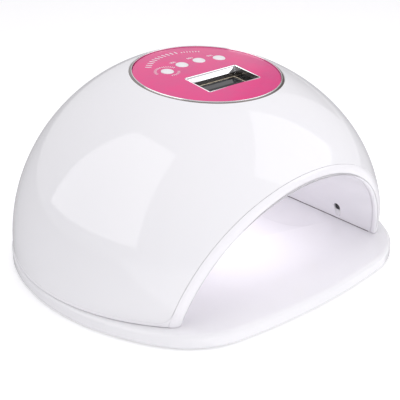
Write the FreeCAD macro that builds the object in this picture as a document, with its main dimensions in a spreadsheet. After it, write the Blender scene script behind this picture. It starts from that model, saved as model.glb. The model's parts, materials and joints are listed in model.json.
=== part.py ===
"""UV LED nail lamp: a domed hood with an arched hand cavity, standing on a removable magnetic tray.

Millimetres, +Z up, the hand opening towards -Y, the origin on the table at the centre of the lamp's box.
"""
import FreeCAD
import Part

import math
import os

import Sketcher

from FreeCAD import Placement, Rotation, Vector

DIMENSIONS = {
    # base tray
    "tray_half_width": 110.0,
    "tray_half_depth": 106.2,
    "tray_front_radius": 365.0,
    "tray_corner_radius": 50.5,
    "tray_side_radius": 129.0,
    "tray_back_radius": 109.15,
    "tray_widest_line": -8.7,
    "tray_thickness": 7.4,
    "tray_edge_round": 2.6,
    "tray_rim_wall": 3.0,
    "tray_hollow_depth": 4.0,
    "foot_height": 1.0,
    "foot_radius": 7.0,
    "foot_thickness": 2.0,
    "magnet_radius": 5.0,
    "tray_magnet_thickness": 2.4,
    "dome_magnet_thickness": 3.0,
    "dish_length": 48.0,
    "dish_width": 32.0,
    "dish_depth": 1.4,
    # domed hood
    "dome_radius": 109.6,
    "dome_centre_line": -5.3,
    "dome_start_height": 8.5,
    "dome_full_height": 109.9,
    "dome_lean": -8.9,
    "dome_tilt": 4.7,
    "dome_height_power": 2.15,
    "dome_radius_power": 1.93,
    "shell_wall": 2.5,
    "shell_top_height": 108.7,
    "shell_bottom_height": 10.6,
    "shell_corner_round": 7.0,
    "front_plane_offset": -77.5,
    "front_plane_height": 9.0,
    "front_plane_slope": 0.26,
    # hand cavity and liner
    "cavity_radius": 76.9,
    "cavity_axis_height": -5.8,
    "cavity_back_centre": 8.0,
    "liner_wall": 2.0,
    "liner_bottom_height": 8.7,
    "flange_thickness": 1.9,
    "lip_depth": 3.2,
    "lip_round": 1.0,
    "sensor_radius": 2.5,
    "sensor_angle": 72.6,
    "sensor_line": -52.7,
    # control panel
    "panel_height": 109.2,
    "panel_line": -14.2,
    "panel_radius": 41.4,
    "panel_bulge": 1.9,
    "panel_seat_depth": 1.9,
    "panel_ledge_radius": 38.0,
    "ring_outer_radius": 43.4,
    "ring_rise": 0.75,
    "button_outer_offset": 19.2,
    "button_inner_offset": 6.3,
    "button_outer_line": 11.1,
    "button_inner_line": 13.9,
    "button_radius": 3.7,
    "button_gap": 0.15,
    "screen_width": 38.0,
    "screen_depth": 21.3,
    "screen_line": -13.1,
    "bezel_rim": 1.0,
    "bezel_slope_inset": 3.0,
    "bezel_drop": 3.4,
    # electronics
    "board_thickness": 1.6,
    "display_board_length": 72.0,
    "display_board_width": 48.0,
    "main_board_length": 64.0,
    "main_board_width": 56.0,
    "main_board_height": 84.0,
    "spreader_length": 60.0,
    "spreader_width": 74.0,
    "spreader_thickness": 1.4,
    "led_board_gap": 1.0,
    "led_radius": 3.2,
    "led_hole_radius": 3.6,
    # mains adaptor inlet
    "inlet_height": 22.0,
    "inlet_bore_radius": 2.8,
    "inlet_pin_radius": 1.05,
    "inlet_pin_length": 8.0,
    "inlet_foot_radius": 1.6,
    "inlet_foot_height": 1.5,
    "inlet_depth": 9.5,
    "inlet_face_line": 102.0,
    # fasteners
    "screw_radius": 1.4,
    "screw_head_radius": 2.7,
    "boss_radius": 3.5,
}

document = FreeCAD.newDocument("NailLamp")
sheet = document.addObject("Spreadsheet::Sheet", "Dimensions")
for row, (name, number) in enumerate(DIMENSIONS.items(), start=1):
    sheet.set(f"A{row}", name)
    sheet.set(f"B{row}", str(number))
    sheet.setAlias(f"B{row}", name)
document.recompute()

subparts = []


def dim(name):
    """A driving dimension, read from the sheet."""
    return float(sheet.get(name))


def bind(item, **sizes):
    """Bind properties of an object to the sheet, written as name="expression with sheet aliases"."""
    for prop, expression in sizes.items():
        words = expression.split()
        linked = [f"Dimensions.{word}" if word in DIMENSIONS else word for word in words]
        item.setExpression(prop, " ".join(linked))


def finish(item, label):
    """Name a finished sub-part after its node."""
    item.Label = label
    subparts.append(item)
    return item


def moulded(label, shape, place=None):
    """A sub-part whose double-curved or grouped shape is set directly."""
    item = document.addObject("Part::Feature", label)
    item.Shape = shape
    if place is not None:
        item.Placement = place
    return finish(item, label)


def group(label, shapes, place=None):
    """Identical separate solids that share one node."""
    return moulded(label, Part.makeCompound(shapes), place)


def disc(radius, height, centre=Vector(0, 0, 0), axis=Vector(0, 0, 1)):
    return Part.makeCylinder(radius, height, centre, axis)


def centred_box(length, width, height, x=0.0, y=0.0, bottom=0.0):
    return Part.makeBox(length, width, height, Vector(x - length / 2, y - width / 2, bottom))


def both_sides(x, y):
    return [(-x, y), (x, y)]


# ---------------------------------------------------------------- shared forms

tilt = dim("dome_tilt")
panel_place = Placement(
    Vector(0, dim("panel_line"), dim("panel_height")), Rotation(Vector(1, 0, 0), tilt)
)


def dome_section(height, inset=0.0):
    """The hood's round cross-section at a height: a circle that leans back and tilts towards the top."""
    start = dim("dome_start_height")
    full = dim("dome_full_height") - inset
    rise = (height - start) / full
    fullness = (1 - rise ** dim("dome_height_power")) ** (1 / dim("dome_radius_power"))
    radius = (dim("dome_radius") - inset) * fullness
    share = max(0.0, (height - start) / (dim("panel_height") - start))
    centre = Vector(0, dim("dome_centre_line") + dim("dome_lean") * share**1.5, height)
    lean = math.radians(tilt) * share**2
    normal = Vector(0, -math.sin(lean), math.cos(lean))
    return Part.Wire([Part.Circle(centre, normal, radius).toShape()])


def dome_solid(top, inset=0.0):
    """The hood's outer form, or the form one wall inside it."""
    start = dim("dome_start_height")
    steps = 10
    heights = [start + (top - start) * math.sin(math.pi / 2 * step / steps) for step in range(steps + 1)]
    return Part.makeLoft([dome_section(height, inset) for height in heights], True, False)


def behind_front_plane(shift):
    """Everything behind the leaning plane that slices the hood's front, moved forward by shift."""
    slope = dim("front_plane_slope")
    low, high, far = -50.0, 200.0, 300.0
    front = dim("front_plane_offset") - shift

    def line(height):
        return front - slope * (height - dim("front_plane_height"))

    corners = [
        Vector(-far, line(low), low),
        Vector(-far, line(high), high),
        Vector(-far, far, high),
        Vector(-far, far, low),
    ]
    side = Part.Face(Part.makePolygon(corners + corners[:1]))
    return side.extrude(Vector(2 * far, 0, 0))


def foot_corner(bottom, shift, radius):
    """What is cut off to round the corner between a bottom face and the leaning front plane."""
    slope = dim("front_plane_slope")
    front = dim("front_plane_offset") - shift - slope * (bottom - dim("front_plane_height"))
    corner = Vector(0, front, bottom)
    back = Vector(0, 1, 0)
    up = Vector(0, -slope, 1).normalize()
    half_angle = back.getAngle(up) / 2
    reach = radius / math.tan(half_angle)
    inward = (back + up).normalize()
    centre = corner + inward * (radius / math.sin(half_angle))
    low, high, middle = corner + back * reach, corner + up * reach, centre - inward * radius
    edges = [
        Part.makeLine(corner, low),
        Part.Arc(low, middle, high).toShape(),
        Part.makeLine(high, corner),
    ]
    face = Part.Face(Part.Wire(edges))
    face.translate(Vector(-200, 0, 0))
    return face.extrude(Vector(400, 0, 0))


def cavity_solid(grow=0.0):
    """The hand cavity: a tunnel that ends in a round back."""
    radius = dim("cavity_radius") + grow
    axis_height = dim("cavity_axis_height")
    back = dim("cavity_back_centre")
    tunnel = disc(radius, 200.0 + back, Vector(0, -200.0, axis_height), Vector(0, 1, 0))
    round_back = Part.makeSphere(radius, Vector(0, back, axis_height))
    return tunnel.fuse(round_back).removeSplitter()


def above(height):
    return Part.makeBox(600, 600, 400, Vector(-300, -300, height))


def slab(low, high):
    return Part.makeBox(600, 600, high - low, Vector(-300, -300, low))


# ---------------------------------------------------------------- tray outline

def tray_arcs(inset=0.0):
    """The tray's outline as six tangent arcs: centre, radius, start and end angle, anticlockwise."""
    half_width = dim("tray_half_width")
    half_depth = dim("tray_half_depth")
    front_radius = dim("tray_front_radius")
    corner_radius = dim("tray_corner_radius")
    side_radius = dim("tray_side_radius")
    front = Vector(0, front_radius - half_depth, 0)
    side = Vector(half_width - side_radius, dim("tray_widest_line"), 0)
    to_front = front - side
    reach_side = side_radius - corner_radius
    reach_front = front_radius - corner_radius
    along = (reach_side**2 - reach_front**2 + to_front.Length**2) / (2 * to_front.Length)
    across = math.sqrt(reach_side**2 - along**2)
    unit = to_front * (1 / to_front.Length)
    corner = side + unit * along + Vector(unit.y, -unit.x, 0) * across
    back_radius = dim("tray_back_radius")
    back = Vector(0, side.y + math.sqrt((side_radius - back_radius) ** 2 - side.x**2), 0)

    def heading(start, end):
        return math.atan2(end.y - start.y, end.x - start.x)

    front_turn = heading(front, corner)
    side_turn = heading(side, corner)
    back_turn = heading(side, back)
    quarter = math.pi / 2
    mirror_side = Vector(-side.x, side.y, 0)
    mirror_corner = Vector(-corner.x, corner.y, 0)
    return [
        (front, front_radius - inset, -2 * quarter - front_turn, front_turn),
        (corner, corner_radius - inset, front_turn, side_turn),
        (side, side_radius - inset, side_turn, back_turn),
        (back, back_radius - inset, back_turn, 2 * quarter - back_turn),
        (mirror_side, side_radius - inset, 2 * quarter - back_turn, 2 * quarter - side_turn),
        (mirror_corner, corner_radius - inset, 2 * quarter - side_turn, 2 * quarter - front_turn),
    ]


def body_plane(body, role):
    return [item for item in body.Origin.OriginFeatures if item.Role == role][0]


def tray_sketch(body, name, inset):
    """The tray's outline on the body's base plane, constrained as tangent arcs bound to the sheet."""
    sketch = body.newObject("Sketcher::SketchObject", name)
    sketch.AttachmentSupport = (body_plane(body, "XY_Plane"), "")
    sketch.MapMode = "FlatFace"
    up = Vector(0, 0, 1)
    arcs = tray_arcs(inset)
    for centre, radius, start, end in arcs:
        sketch.addGeometry(Part.ArcOfCircle(Part.Circle(centre, up, radius), start, end), False)
    front, corner, side, back, left_side, left_corner = range(6)
    start_point, end_point, centre_point = 1, 2, 3
    origin, vertical_axis = -1, -2

    def constrain(*words, alias=None, expression=None):
        index = sketch.addConstraint(Sketcher.Constraint(*words))
        if alias:
            sketch.renameConstraint(index, alias)
            sketch.setExpression(f"Constraints.{alias}", expression)

    for index in range(6):
        constrain("Tangent", index, end_point, (index + 1) % 6, start_point)
    constrain("Equal", corner, left_corner)
    constrain("Equal", side, left_side)
    constrain("PointOnObject", front, centre_point, vertical_axis)
    constrain("PointOnObject", back, centre_point, vertical_axis)
    for index, alias in ((front, "front"), (corner, "corner"), (side, "side"), (back, "back")):
        expression = f"Dimensions.tray_{alias}_radius - {inset}"
        constrain("Radius", index, arcs[index][1], alias=f"{alias}_radius", expression=expression)
    across = "Dimensions.tray_side_radius - Dimensions.tray_half_width"
    drop = "0 - Dimensions.tray_widest_line"
    forward = "Dimensions.tray_front_radius - Dimensions.tray_half_depth"
    middle = arcs[side][0]
    ahead = arcs[front][0].y
    constrain("DistanceX", side, centre_point, origin, 1, -middle.x, alias="side_x", expression=across)
    constrain("DistanceY", side, centre_point, origin, 1, -middle.y, alias="side_y", expression=drop)
    constrain("DistanceY", left_side, centre_point, origin, 1, -middle.y, alias="left_y", expression=drop)
    constrain("DistanceY", origin, 1, front, centre_point, ahead, alias="front_y", expression=forward)
    return sketch


# ---------------------------------------------------------------- base tray

foot_height = dim("foot_height")
tray_top = foot_height + dim("tray_thickness")
FEET = both_sides(60.0, -82.0) + both_sides(66.0, 62.0)
MAGNETS = both_sides(84.0, -58.0) + both_sides(66.0, 64.0)


def tray_magnet_discs():
    """The tray's magnets, flush with its top; the same discs cut their pockets."""
    thickness = dim("tray_magnet_thickness")
    return [disc(dim("magnet_radius"), thickness, Vector(x, y, tray_top - thickness)) for x, y in MAGNETS]


def make_tray():
    """The removable tray: a flat moulding, hollow and ribbed underneath, with two shallow finger dishes."""
    body = document.addObject("PartDesign::Body", "TrayPlate")
    outline = tray_sketch(body, "TrayOutline", 0.0)
    plate = body.newObject("PartDesign::Pad", "TrayPad")
    plate.Profile = outline
    bind(plate, Length="tray_thickness")
    document.recompute()
    edges = []
    for number, edge in enumerate(plate.Shape.Edges, start=1):
        if edge.BoundBox.ZMin > plate.Length.Value - 0.01:
            edges.append(f"Edge{number}")
    rounded = body.newObject("PartDesign::Fillet", "TrayEdge")
    rounded.Base = (plate, edges)
    bind(rounded, Radius="tray_edge_round")
    inner = tray_sketch(body, "TrayHollowOutline", dim("tray_rim_wall"))
    hollow = body.newObject("PartDesign::Pocket", "TrayHollow")
    hollow.Profile = inner
    hollow.Reversed = True
    bind(hollow, Length="tray_hollow_depth")
    document.recompute()
    body.Placement = Placement(Vector(0, 0, foot_height), Rotation())
    document.recompute()

    hollow_top = foot_height + dim("tray_hollow_depth")
    shape = body.Shape.copy()
    rib_height = dim("tray_hollow_depth") - 0.6
    ribs = [centred_box(1.8, 168, rib_height, x, -4, hollow_top - rib_height) for x in (-45, 0, 45)]
    ribs += [centred_box(164, 1.8, rib_height, 0, y, hollow_top - rib_height) for y in (-58, -8, 42)]
    boss_radius = dim("foot_radius") + 2.0
    bosses = [disc(boss_radius, hollow_top - foot_height, Vector(x, y, foot_height)) for x, y in FEET]
    shape = shape.multiFuse([item.common(slab(foot_height, hollow_top)) for item in ribs] + bosses)
    seats = [disc(dim("foot_radius"), 1.0, Vector(x, y, foot_height)) for x, y in FEET]
    shape = shape.cut(Part.makeCompound(seats + tray_magnet_discs() + [finger_dish(-1), finger_dish(1)]))
    return moulded("tray_plate", shape.removeSplitter())


def finger_dish(side):
    """A shallow oval dish beside the middle of the tray, cut by a squashed ball."""
    depth = dim("dish_depth")
    half_width = dim("dish_width") / 2
    ball_radius = (half_width**2 + depth**2) / (2 * depth)
    stretch = FreeCAD.Matrix()
    stretch.A22 = dim("dish_length") / dim("dish_width")
    ball = Part.makeSphere(ball_radius).transformGeometry(stretch)
    ball.translate(Vector(side * 58.0, -24.0, tray_top + ball_radius - depth))
    return ball


make_tray()
group("tray_magnets", tray_magnet_discs())


def rubber_foot(x, y):
    foot = disc(dim("foot_radius"), dim("foot_thickness"), Vector(x, y, 0))
    low_edge = [edge for edge in foot.Edges if edge.BoundBox.ZMax < 0.01]
    return foot.makeFillet(0.5, low_edge)


group("rubber_feet", [rubber_foot(x, y) for x, y in FEET])

# ---------------------------------------------------------------- outer shell

shell_bottom = dim("shell_bottom_height")
dome_outer = dome_solid(dim("shell_top_height"))
dome_inner = dome_solid(dim("panel_height") - dim("panel_seat_depth") - dim("shell_wall"), dim("shell_wall"))
BOSSES = both_sides(91.0, -35.0) + both_sides(91.0, 25.0) + both_sides(45.0, 78.0)
DISPLAY_SCREWS = both_sides(33.0, 21.0) + both_sides(33.0, -21.0)
window_bottom = -dim("bezel_drop") - 1.2
module_bottom = window_bottom - 3.0
board_top = module_bottom
inlet_place = Placement(
    Vector(0, dim("inlet_face_line"), dim("inlet_height")), Rotation(Vector(1, 0, 0), -90)
)


def placed(shape, place):
    copy = shape.copy()
    copy.Placement = place
    return copy


def make_outer_shell():
    """The glossy hood: a thin dome sliced by the leaning front plane, with screw posts for the liner."""
    shell = dome_outer.cut(dome_inner).common(above(shell_bottom)).common(behind_front_plane(0.0))
    shell = shell.cut(foot_corner(shell_bottom, 0.0, dim("shell_corner_round")))
    full_height = dim("shell_top_height")
    posts = [disc(dim("boss_radius"), full_height, Vector(x, y, shell_bottom)) for x, y in BOSSES]
    inlet_wall = placed(disc(9.0, 4.0, Vector(0, 0, -4.0)), inlet_place)
    kept = Part.makeCompound(posts + [inlet_wall]).common(dome_outer)
    shell = shell.fuse(kept)
    pilots = [disc(dim("screw_radius"), 12.0, Vector(x, y, shell_bottom)) for x, y in BOSSES]
    seat = disc(dim("ring_outer_radius"), 10.0, Vector(0, 0, -dim("panel_seat_depth")))
    hole = disc(dim("panel_ledge_radius"), 20.0, Vector(0, 0, -12.0))
    inlet_recess = placed(disc(7.0, 12.0), inlet_place)
    inlet_hole = placed(disc(4.0, 12.0, Vector(0, 0, -10.0)), inlet_place)
    tools = pilots + [placed(seat, panel_place), placed(hole, panel_place), inlet_recess, inlet_hole]
    shell = shell.cut(Part.makeCompound(tools))
    post_top = -dim("panel_seat_depth") - dim("shell_wall")
    posts = [disc(2.6, post_top + 1.5 - board_top, Vector(x, y, board_top)) for x, y in DISPLAY_SCREWS]
    inside_hole = disc(dim("panel_ledge_radius"), 5.0, Vector(0, 0, post_top))
    shell = shell.fuse(placed(Part.makeCompound(posts).cut(inside_hole), panel_place))
    pilots = [disc(dim("screw_radius"), 4.0, Vector(x, y, board_top)) for x, y in DISPLAY_SCREWS]
    return shell.cut(placed(Part.makeCompound(pilots), panel_place))


moulded("outer_shell", make_outer_shell())

# ---------------------------------------------------------------- LED layout

led_board_bottom = dim("cavity_radius") + dim("liner_wall") + dim("led_board_gap")


def turned(axis, angle, origin):
    return Placement(origin, Rotation(axis, angle))


def grid(columns, rows):
    return [(x, y) for x in columns for y in rows]


cavity_origin = Vector(0, 0, dim("cavity_axis_height"))
back_origin = Vector(0, dim("cavity_back_centre"), dim("cavity_axis_height"))
along_tunnel = Vector(0, 1, 0)
LED_LINES = (-46, -28, -10, 8)
LED_BOARDS = {
    "top": (turned(along_tunnel, 0, cavity_origin), (44, 84, -22), grid((-14, 14), LED_LINES), False),
    "left": (turned(along_tunnel, -46, cavity_origin), (32, 84, -22), grid((-9, 9), LED_LINES), False),
    "right": (turned(along_tunnel, 46, cavity_origin), (32, 84, -22), grid((-9, 9), LED_LINES), False),
    "back": (turned(Vector(1, 0, 0), -52, back_origin), (60, 30, 4), grid((-20, 0, 20), (-4, 12)), True),
}


def lens_depth(x, y, ball_end):
    """How far a lens reaches towards the cavity's axis, so that it ends at the cavity wall."""
    spread = x**2 + (y**2 if ball_end else 0)
    return math.sqrt(dim("cavity_radius") ** 2 - spread)


def led_bead(x, y, ball_end):
    """A lens on its board, with a domed end flush with the cavity wall."""
    low = lens_depth(x, y, ball_end) + 0.3
    radius = dim("led_radius")
    bead = disc(radius, led_board_bottom - low, Vector(x, y, low))
    ball = Part.makeSphere(radius * 1.25, Vector(x, y, low + radius * 1.25))
    upper = disc(radius, led_board_bottom - low - radius / 2, Vector(x, y, low + radius / 2))
    return bead.common(ball.fuse(upper)).removeSplitter()


def led_hole(x, y):
    return disc(dim("led_hole_radius"), 20.0, Vector(x, y, led_board_bottom - 12.0))


# ---------------------------------------------------------------- inner liner

liner_bottom = dim("liner_bottom_height")
liner_wall = dim("liner_wall")
SPREADER_POSTS = both_sides(27.0, -62.0) + both_sides(27.0, 4.0)
spreader_bottom = dim("cavity_axis_height") + led_board_bottom + dim("board_thickness")


def sensor_point(side):
    angle = math.radians(dim("sensor_angle"))
    radius = dim("cavity_radius")
    return Vector(
        side * radius * math.sin(angle),
        dim("sensor_line"),
        dim("cavity_axis_height") + radius * math.cos(angle),
    )


def dome_magnet_discs():
    """The hood's magnets, face to face with the tray's; the same discs cut their pockets."""
    thickness = dim("dome_magnet_thickness")
    return [disc(dim("magnet_radius"), thickness, Vector(x, y, tray_top)) for x, y in MAGNETS]


def make_inner_liner():
    """The white liner: a vault over the hands, its lip at the arch, and the flange that closes the hood."""
    cavity = cavity_solid()
    vault = cavity_solid(liner_wall).cut(cavity)
    lip_front = behind_front_plane(dim("lip_depth"))
    lip = dome_outer.common(lip_front).cut(behind_front_plane(0.0)).cut(cavity).common(above(liner_bottom))
    front_edges = []
    for edge in lip.Edges:
        middle = edge.valueAt((edge.FirstParameter + edge.LastParameter) / 2)
        drop = dim("front_plane_slope") * (middle.z - dim("front_plane_height"))
        line = dim("front_plane_offset") - dim("lip_depth") - drop
        if abs(middle.y - line) < 0.05 and edge.Length > 30:
            front_edges.append(edge)
    lip = lip.makeFillet(dim("lip_round"), front_edges)
    wall = dome_inner.common(behind_front_plane(0.0)).cut(behind_front_plane(-2.0)).cut(cavity)
    wall = wall.common(above(liner_bottom))
    flange = dome_outer.common(slab(liner_bottom, liner_bottom + dim("flange_thickness")))
    flange = flange.common(behind_front_plane(0.0)).cut(cavity)
    vault = vault.common(above(liner_bottom)).common(behind_front_plane(0.0))
    posts = [disc(3.0, spreader_bottom - 60.0, Vector(x, y, 60.0)) for x, y in SPREADER_POSTS]
    posts = [post.cut(cavity_solid(liner_wall)) for post in posts]
    pads = [
        placed(disc(2.0, 9.0, Vector(x, y, led_board_bottom - 9.0)), place).cut(cavity_solid(liner_wall))
        for place, (width, length, line), beads, ball_end in LED_BOARDS.values()
        for x, y in grid((3 - width / 2, width / 2 - 3), (line + 3 - length / 2, line + length / 2 - 3))
    ]
    sockets = [
        disc(dim("sensor_radius") + 1.5, 9.5, sensor_point(side), Vector(side, 0, 0)).cut(cavity)
        for side in (-1, 1)
    ]
    cups = [disc(dim("magnet_radius") + 1.5, 3.6, Vector(x, y, liner_bottom + 0.5)) for x, y in MAGNETS]
    corners = dome_outer.common(foot_corner(shell_bottom, 0.0, dim("shell_corner_round"))).cut(cavity)
    liner = vault.multiFuse([lip, wall, flange, corners] + posts + cups + pads + sockets)
    tools = [placed(led_hole(x, y), board[0]) for board in LED_BOARDS.values() for x, y in board[2]]
    tools += dome_magnet_discs()
    for x, y in BOSSES:
        tools.append(disc(dim("screw_radius") + 0.1, 5.0, Vector(x, y, liner_bottom - 1)))
        tools.append(disc(dim("screw_head_radius") + 0.1, 2.2, Vector(x, y, liner_bottom - 1)))
    tools += [disc(dim("screw_radius"), 8.0, Vector(x, y, spreader_bottom - 8.0)) for x, y in SPREADER_POSTS]
    for side in (-1, 1):
        point = sensor_point(side)
        tools.append(disc(dim("sensor_radius"), 18.0, point - Vector(side * 6.0, 0, 0), Vector(side, 0, 0)))
        tools.append(disc(2.3, point.z - liner_bottom, Vector(point.x + side * 0.2, point.y, liner_bottom)))
    return liner.cut(Part.makeCompound(tools))


moulded("inner_liner", make_inner_liner())
group("dome_magnets", dome_magnet_discs())


def screw(x, y, head_bottom, length, up=1):
    """A pan-head screw: the head at head_bottom, the shank going up or down from it."""
    head_height = 1.2
    axis = Vector(0, 0, up)
    head = disc(dim("screw_head_radius"), head_height, Vector(x, y, head_bottom), axis)
    shank = disc(dim("screw_radius"), length, Vector(x, y, head_bottom + up * head_height), axis)
    slot = centred_box(3.2, 0.7, 0.5, x, y, head_bottom - (0 if up > 0 else 0.5))
    return head.fuse(shank).cut(slot)


group("shell_screws", [screw(x, y, liner_bottom, 11.0) for x, y in BOSSES])

# ---------------------------------------------------------------- LED boards

for name, (place, (width, length, line), beads, ball_end) in LED_BOARDS.items():
    board = document.addObject("Part::Box", f"LedBoard{name.title()}")
    board.Length = width
    board.Width = length
    bind(board, Height="board_thickness")
    corner = Placement(Vector(-width / 2, line - length / 2, led_board_bottom), Rotation())
    board.Placement = place.multiply(corner)
    finish(board, f"led_board_{name}")
    group(f"led_beads_{name}", [led_bead(x, y, ball_end) for x, y in beads], place)


def drilled_plate(label, length, width, thickness, corner, holes, place=Placement()):
    """A flat plate with its sizes bound to the sheet, and screw holes right through it."""
    name = label.title().replace("_", "")
    plate = document.addObject("Part::Box", f"{name}Plate")
    bind(plate, Length=length, Width=width, Height=thickness)
    plate.Placement = place.multiply(Placement(corner, Rotation()))
    drills = document.addObject("Part::Feature", f"{name}Drills")
    clearance = dim("screw_radius") + 0.1
    drills.Shape = Part.makeCompound([disc(clearance, 10.0, Vector(x, y, corner.z - 4.0)) for x, y in holes])
    drills.Placement = place
    cut = document.addObject("Part::Cut", name)
    cut.Base = plate
    cut.Tool = drills
    return finish(cut, label)


drilled_plate(
    "heat_spreader",
    "spreader_length",
    "spreader_width",
    "spreader_thickness",
    Vector(-dim("spreader_length") / 2, -66.0, spreader_bottom),
    SPREADER_POSTS,
)
spreader_top = spreader_bottom + dim("spreader_thickness")

for side, label in ((-1, "sensor_emitter"), (1, "sensor_receiver")):
    point = sensor_point(side)
    axis = Vector(side, 0, 0)
    lens = disc(dim("sensor_radius"), 8.0, point + axis * 2.5, axis)
    nose = Part.makeSphere(dim("sensor_radius"), point + axis * 2.5)
    collar = disc(dim("sensor_radius") + 0.5, 1.0, point + axis * 9.5, axis)
    leg_start = point.x + (10.5 if side > 0 else -15.5)
    legs = [
        Part.makeBox(5.0, 0.5, 0.5, Vector(leg_start, point.y + line, point.z - 0.25))
        for line in (-1.5, 1.0)
    ]
    moulded(label, lens.multiFuse([nose, collar] + legs).removeSplitter())

# ---------------------------------------------------------------- control panel

panel_radius = dim("panel_radius")
bulge = dim("panel_bulge")
seat = -dim("panel_seat_depth")
crown_radius = (panel_radius**2 + bulge**2) / (2 * bulge)


def crown(rise=0.0):
    """The ball whose surface is the panel's domed top, raised by a little."""
    return Part.makeSphere(crown_radius + rise, Vector(0, 0, bulge - crown_radius))


def make_chrome_ring():
    """The chrome trim ring round the panel, with rounded edges on top."""
    outer = disc(dim("ring_outer_radius"), dim("ring_rise") - seat, Vector(0, 0, seat))
    body = outer.cut(disc(panel_radius + 0.1, 10.0, Vector(0, 0, seat)))
    top_edges = [edge for edge in body.Edges if edge.BoundBox.ZMin > dim("ring_rise") - 0.01]
    return body.makeFillet(0.6, top_edges)


moulded("chrome_ring", make_chrome_ring(), panel_place)
BUTTONS = [
    (-dim("button_outer_offset"), dim("button_outer_line")),
    (-dim("button_inner_offset"), dim("button_inner_line")),
    (dim("button_inner_offset"), dim("button_inner_line")),
    (dim("button_outer_offset"), dim("button_outer_line")),
]
screen_width = dim("screen_width")
screen_depth = dim("screen_depth")
screen_line = dim("screen_line")
rim = dim("bezel_rim")
throat_width = screen_width - 2 * rim
throat_depth = screen_depth - 2 * rim
button_bore = dim("button_radius") + dim("button_gap")
panel_underside = -0.6


def make_control_panel():
    """The round domed panel, with a window for the screen and a hole for each button."""
    blank = disc(panel_radius, 8.0, Vector(0, 0, seat)).common(crown())
    hollow = disc(panel_radius - 4.0, panel_underside - seat, Vector(0, 0, seat))
    window = centred_box(throat_width, throat_depth, 12.0, 0, screen_line, -6.0)
    holes = [disc(button_bore, 12.0, Vector(x, y, -6.0)) for x, y in BUTTONS]
    return blank.cut(Part.makeCompound([hollow, window] + holes))


moulded("control_panel", make_control_panel(), panel_place)


def rectangle_wire(length, width, height):
    corners = [(-1, -1), (1, -1), (1, 1), (-1, 1)]
    points = [Vector(a * length / 2, screen_line + b * width / 2, height) for a, b in corners]
    return Part.makePolygon(points + points[:1])


def make_bezel():
    """The chrome screen frame: a thin rim on the panel and four mirror walls sloping to the window."""
    drop = -dim("bezel_drop")
    rise = 0.4
    rim_block = centred_box(screen_width, screen_depth, 8.0, 0, screen_line, -1.0).cut(crown())
    throat_block = centred_box(throat_width, throat_depth, 8.0 - drop, 0, screen_line, drop)
    block = rim_block.fuse(throat_block).common(crown(rise))
    slope = dim("bezel_slope_inset")
    top = 2.4
    opening = Part.makeLoft(
        [
            rectangle_wire(screen_width - 2 * slope, screen_depth - 2 * slope, drop - 0.01),
            rectangle_wire(screen_width - 1.2, screen_depth - 1.2, top),
        ],
        True,
        True,
    )
    return block.cut(opening).removeSplitter()


moulded("lcd_bezel", make_bezel(), panel_place)


def panel_block(label, length, width, thickness, bottom, line):
    """A flat rectangular piece behind the panel, with its sizes bound to the sheet."""
    item = document.addObject("Part::Box", label.title().replace("_", ""))
    bind(item, Length=length, Width=width, Height=thickness)
    document.recompute()
    corner = Vector(-item.Length.Value / 2, line - item.Width.Value / 2, bottom)
    item.Placement = panel_place.multiply(Placement(corner, Rotation()))
    return finish(item, label)


display_board_bottom = board_top - dim("board_thickness")
panel_block("lcd_window", "screen_width - 4", "screen_depth - 4", "1.2", window_bottom, screen_line)
panel_block("lcd_module", "screen_width - 3", "screen_depth - 2.4", "3", module_bottom, screen_line)

# ---------------------------------------------------------------- buttons

switch_height = 3.2
switch_top = module_bottom + switch_height
plunger_rise = 0.8
cap_rise = 1.0


def panel_surface(x, y):
    """Height of the panel's domed surface over its edge level."""
    return bulge - crown_radius + math.sqrt(crown_radius**2 - x**2 - y**2)


def make_button(number, x, y):
    """A domed cap with a retaining flange under the panel and a stem that reaches the switch plunger."""
    stem_bottom = switch_top + plunger_rise
    surface = panel_surface(x, y)
    cap_radius = dim("button_radius")
    cap = disc(cap_radius, surface + cap_rise - panel_underside, Vector(0, 0, panel_underside))
    ball_radius = (cap_radius**2 + 0.9**2) / (2 * 0.9)
    ball = Part.makeSphere(ball_radius, Vector(0, 0, surface + cap_rise - ball_radius))
    lower = disc(cap_radius, surface - panel_underside, Vector(0, 0, panel_underside))
    cap = cap.common(ball).fuse(lower)
    flange = disc(cap_radius + 1.0, 0.7, Vector(0, 0, panel_underside - 0.75))
    neck = disc(cap_radius, 0.2, Vector(0, 0, panel_underside - 0.1))
    stem = disc(1.5, panel_underside - 0.7 - stem_bottom, Vector(0, 0, stem_bottom))
    shape = cap.multiFuse([flange, neck, stem]).removeSplitter()
    place = panel_place.multiply(Placement(Vector(x, y, 0), Rotation()))
    moulded(f"button_{number}", shape, place)
    plunger = disc(1.7, plunger_rise + 1.2, Vector(x, y, switch_top - 1.2))
    moulded(f"switch_plunger_{number}", plunger, panel_place)


for number, (x, y) in enumerate(BUTTONS, start=1):
    make_button(number, x, y)


def tact_switch(x, y):
    """A square switch housing with the well that its plunger sinks into."""
    housing = centred_box(6.2, 6.2, switch_height, x, y, module_bottom)
    well = disc(1.8, 2.2, Vector(x, y, switch_top - 1.8))
    return housing.cut(well)


group("tact_switches", [tact_switch(x, y) for x, y in BUTTONS], panel_place)
drilled_plate(
    "display_board",
    "display_board_length",
    "display_board_width",
    "board_thickness",
    Vector(-dim("display_board_length") / 2, -dim("display_board_width") / 2, display_board_bottom),
    DISPLAY_SCREWS,
    panel_place,
)
group(
    "display_screws",
    [screw(x, y, display_board_bottom - 1.2, 5.0) for x, y in DISPLAY_SCREWS],
    panel_place,
)
header_line = -19.0
header_height = 3.0
moulded(
    "display_header",
    centred_box(16, 5, header_height, 0, header_line, display_board_bottom - header_height),
    panel_place,
)

# ---------------------------------------------------------------- main board

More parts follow.
